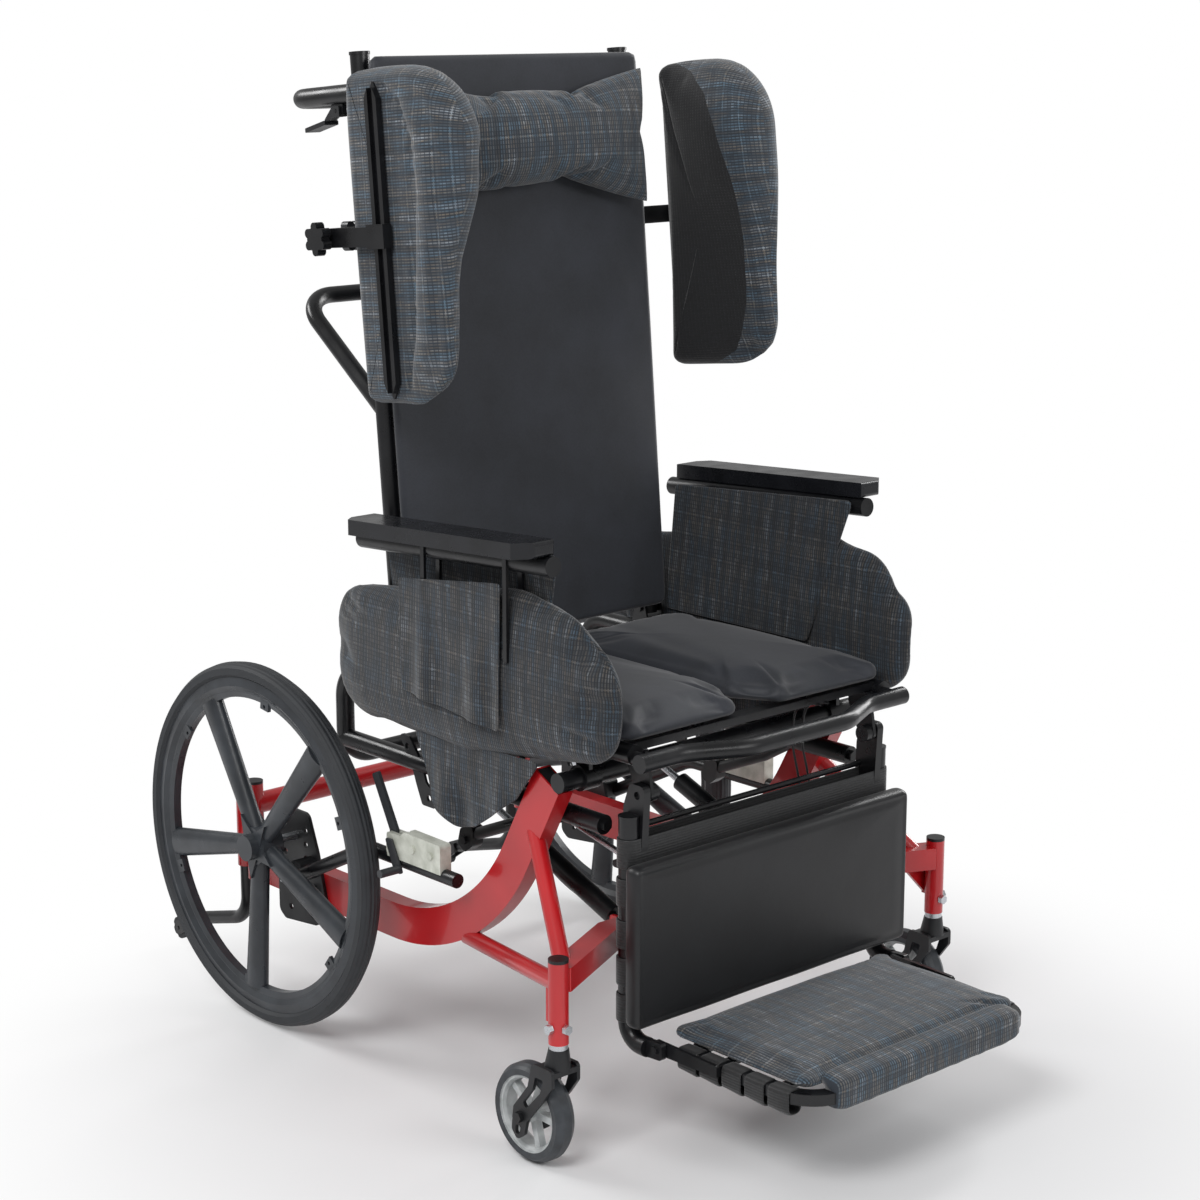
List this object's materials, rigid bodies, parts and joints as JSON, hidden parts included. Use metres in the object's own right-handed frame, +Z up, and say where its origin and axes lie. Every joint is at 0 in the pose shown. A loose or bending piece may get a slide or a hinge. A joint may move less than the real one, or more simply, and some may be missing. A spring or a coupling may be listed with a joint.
{
  "type": "tilt-in-space wheelchair",
  "caption": "Tilt-in-space wheelchair with curved red side rails, mag wheels, tweed wings and side bolsters, recliner back and elevating leg rest.",
  "frame": {"origin": "on the floor, under the middle of the whole chair's bounding box", "axes": "+X to the seated person's left, +Y to the rear, +Z up"},
  "size_m": [0.742, 1.2616, 1.3182],
  "materials": {
    "red_paint": "gloss",
    "black_paint": "satin",
    "bright_steel": "satin",
    "cast_alloy": "satin",
    "black_plastic": "satin",
    "grey_plastic": "satin",
    "tyre_rubber": "matte",
    "stretch_vinyl": "matte",
    "tweed": "matte",
    "webbing": "matte"
  },
  "bodies": {
    "base": {"side_rail_r": "red_paint", "side_rail_l": "red_paint", "rear_frame": "red_paint", "front_frame": "red_paint", "stem_housings": "red_paint", "base_caps": "black_plastic", "base_hardware": "bright_steel", "axle_plates": "black_paint", "lock_arms": "black_paint", "lock_bodies": "cast_alloy", "anti_tip_arms": "black_paint", "pivot_tube": "bright_steel"},
    "tilt_spring_tubes": {"tilt_cylinders": "black_paint"},
    "tilt_spring_rods": {"tilt_rods": "bright_steel"},
    "seat": {"seat_frame": "black_paint", "seat_cushion_r": "stretch_vinyl", "seat_cushion_l": "stretch_vinyl", "bolster_r": "tweed", "bolster_l": "tweed", "control_cables": "black_plastic"},
    "back": {"back_frame": "black_paint", "push_bars": "black_paint", "back_panel": "stretch_vinyl", "head_pillow": "tweed"},
    "leg_rest": {"legrest_frame": "black_paint", "leg_bands": "webbing", "calf_pad": "stretch_vinyl"},
    "foot_plate": {"foot_frame": "black_paint", "foot_cushion": "tweed", "foot_loops": "webbing"},
    "leg_spring_tube": {"leg_cylinder": "black_paint"},
    "leg_spring_rod": {"leg_rod": "bright_steel"},
    "rear_wheel_r": {"rear_tyre_r": "tyre_rubber", "rear_wheel_r": "grey_plastic"},
    "caster_fork_r": {"caster_fork_r": "black_paint"},
    "caster_wheel_r": {"caster_wheel_r": "grey_plastic"},
    "anti_tip_wheel_r": {"anti_tip_wheel_r": "tyre_rubber"},
    "wheel_lock_r": {"lock_lever_r": "black_paint"},
    "arm_r": {"arm_frame_r": "black_paint", "arm_pad_r": "black_plastic", "arm_panel_r": "tweed"},
    "wing_clamp_r": {"wing_clamp_r": "black_paint"},
    "wing_r": {"wing_pad_r": "tweed", "wing_rail_r": "black_paint"},
    "wing_knob_r": {"wing_knob_r": "black_plastic"},
    "release_lever_r": {"release_lever_r": "black_paint"},
    "rear_wheel_l": {"rear_tyre_l": "tyre_rubber", "rear_wheel_l": "grey_plastic"},
    "caster_fork_l": {"caster_fork_l": "black_paint"},
    "caster_wheel_l": {"caster_wheel_l": "grey_plastic"},
    "anti_tip_wheel_l": {"anti_tip_wheel_l": "tyre_rubber"},
    "wheel_lock_l": {"lock_lever_l": "black_paint"},
    "arm_l": {"arm_frame_l": "black_paint", "arm_pad_l": "black_plastic", "arm_panel_l": "tweed"},
    "wing_clamp_l": {"wing_clamp_l": "black_paint"},
    "wing_l": {"wing_pad_l": "tweed", "wing_rail_l": "black_paint"},
    "wing_knob_l": {"wing_knob_l": "black_plastic"},
    "release_lever_l": {"release_lever_l": "black_paint"}
  },
  "joints": [
    {"name": "seat_tilt", "type": "hinge", "parent": "base", "child": "seat", "pos_m": [0, -0.249, 0.453], "axis": [-1, 0, 0], "range_deg": [0, 30]},
    {"name": "back_recline", "type": "hinge", "parent": "seat", "child": "back", "pos_m": [0, 0.108, 0.536], "axis": [-1, 0, 0], "range_deg": [0, 40]},
    {"name": "legrest_elevate", "type": "hinge", "parent": "seat", "child": "leg_rest", "pos_m": [0, -0.336, 0.447], "axis": [-1, 0, 0], "range_deg": [0, 60]},
    {"name": "footplate_angle", "type": "hinge", "parent": "leg_rest", "child": "foot_plate", "pos_m": [0, -0.382, 0.137], "axis": [-1, 0, 0], "range_deg": [-15, 15]},
    {"name": "tilt_spring_turn", "type": "hinge", "parent": "base", "child": "tilt_spring_tubes", "pos_m": [0.15, -0.236, 0.245], "axis": [-1, 0, 0], "range_deg": [0, 29.1]},
    {"name": "tilt_spring_stroke", "type": "slide", "parent": "tilt_spring_tubes", "child": "tilt_spring_rods", "axis": [0, -0.9333, -0.3592], "range_m": [0, 0.1082]},
    {"name": "leg_spring_turn", "type": "hinge", "parent": "seat", "child": "leg_spring_tube", "pos_m": [-0.192, 0.044, 0.43], "axis": [-1, 0, 0], "range_deg": [0, 5.1]},
    {"name": "leg_spring_stroke", "type": "slide", "parent": "leg_spring_tube", "child": "leg_spring_rod", "axis": [0, -0.9749, -0.2225], "range_m": [0, 0.0967]},
    {"name": "rear_wheel_spin_r", "type": "hinge", "parent": "base", "child": "rear_wheel_r", "pos_m": [-0.324, 0.3, 0.254], "axis": [1, 0, 0], "continuous": true},
    {"name": "caster_swivel_r", "type": "hinge", "parent": "base", "child": "caster_fork_r", "pos_m": [-0.342, -0.336, 0.2], "axis": [0, 0, 1], "continuous": true},
    {"name": "caster_spin_r", "type": "hinge", "parent": "caster_fork_r", "child": "caster_wheel_r", "pos_m": [-0.342, -0.291, 0.0625], "axis": [1, 0, 0], "continuous": true},
    {"name": "anti_tip_spin_r", "type": "hinge", "parent": "base", "child": "anti_tip_wheel_r", "pos_m": [-0.2495, 0.614, 0.032], "axis": [1, 0, 0], "continuous": true},
    {"name": "wheel_lock_r", "type": "hinge", "parent": "base", "child": "wheel_lock_r", "pos_m": [-0.2945, 0.036, 0.316], "axis": [1, 0, 0], "range_deg": [0, 42]},
    {"name": "arm_height_r", "type": "slide", "parent": "seat", "child": "arm_r", "axis": [0, 0, 1], "range_m": [0, 0.06]},
    {"name": "wing_swing_r", "type": "hinge", "parent": "back", "child": "wing_clamp_r", "pos_m": [-0.222, 0.1562, 1.0869], "axis": [0, -0.0872, -0.9962], "range_deg": [0, 30]},
    {"name": "wing_height_r", "type": "slide", "parent": "wing_clamp_r", "child": "wing_r", "axis": [0, 0.0872, 0.9962], "range_m": [-0.04, 0.03]},
    {"name": "wing_knob_turn_r", "type": "hinge", "parent": "wing_clamp_r", "child": "wing_knob_r", "pos_m": [-0.222, 0.19604, 1.08341], "axis": [0, 0.9962, -0.0872], "continuous": true},
    {"name": "release_squeeze_r", "type": "hinge", "parent": "back", "child": "release_lever_r", "pos_m": [-0.222, 0.22194, 1.24175], "axis": [1, 0, 0], "range_deg": [0, 14], "stiffness_Nm_per_rad": 1, "springref_deg": -8.59},
    {"name": "rear_wheel_spin_l", "type": "hinge", "parent": "base", "child": "rear_wheel_l", "pos_m": [0.324, 0.3, 0.254], "axis": [1, 0, 0], "continuous": true},
    {"name": "caster_swivel_l", "type": "hinge", "parent": "base", "child": "caster_fork_l", "pos_m": [0.342, -0.336, 0.2], "axis": [0, 0, 1], "continuous": true},
    {"name": "caster_spin_l", "type": "hinge", "parent": "caster_fork_l", "child": "caster_wheel_l", "pos_m": [0.342, -0.291, 0.0625], "axis": [1, 0, 0], "continuous": true},
    {"name": "anti_tip_spin_l", "type": "hinge", "parent": "base", "child": "anti_tip_wheel_l", "pos_m": [0.2495, 0.614, 0.032], "axis": [1, 0, 0], "continuous": true},
    {"name": "wheel_lock_l", "type": "hinge", "parent": "base", "child": "wheel_lock_l", "pos_m": [0.2945, 0.036, 0.316], "axis": [1, 0, 0], "range_deg": [0, 42]},
    {"name": "arm_height_l", "type": "slide", "parent": "seat", "child": "arm_l", "axis": [0, 0, 1], "range_m": [0, 0.06]},
    {"name": "wing_swing_l", "type": "hinge", "parent": "back", "child": "wing_clamp_l", "pos_m": [0.222, 0.1562, 1.0869], "axis": [0, 0.0872, 0.9962], "range_deg": [0, 30]},
    {"name": "wing_height_l", "type": "slide", "parent": "wing_clamp_l", "child": "wing_l", "axis": [0, 0.0872, 0.9962], "range_m": [-0.04, 0.03]},
    {"name": "wing_knob_turn_l", "type": "hinge", "parent": "wing_clamp_l", "child": "wing_knob_l", "pos_m": [0.222, 0.19604, 1.08341], "axis": [0, 0.9962, -0.0872], "continuous": true},
    {"name": "release_squeeze_l", "type": "hinge", "parent": "back", "child": "release_lever_l", "pos_m": [0.222, 0.22194, 1.24175], "axis": [1, 0, 0], "range_deg": [0, 14], "stiffness_Nm_per_rad": 1, "springref_deg": -8.59}
  ],
  "couplings": [
    {"joint": "tilt_spring_turn", "follows": "seat_tilt", "ratio": 0.9638},
    {"joint": "tilt_spring_stroke", "follows": "seat_tilt", "m_per_rad": 0.20576},
    {"joint": "leg_spring_turn", "follows": "legrest_elevate", "ratio": 0.0821},
    {"joint": "leg_spring_stroke", "follows": "legrest_elevate", "m_per_rad": 0.09182}
  ]
}
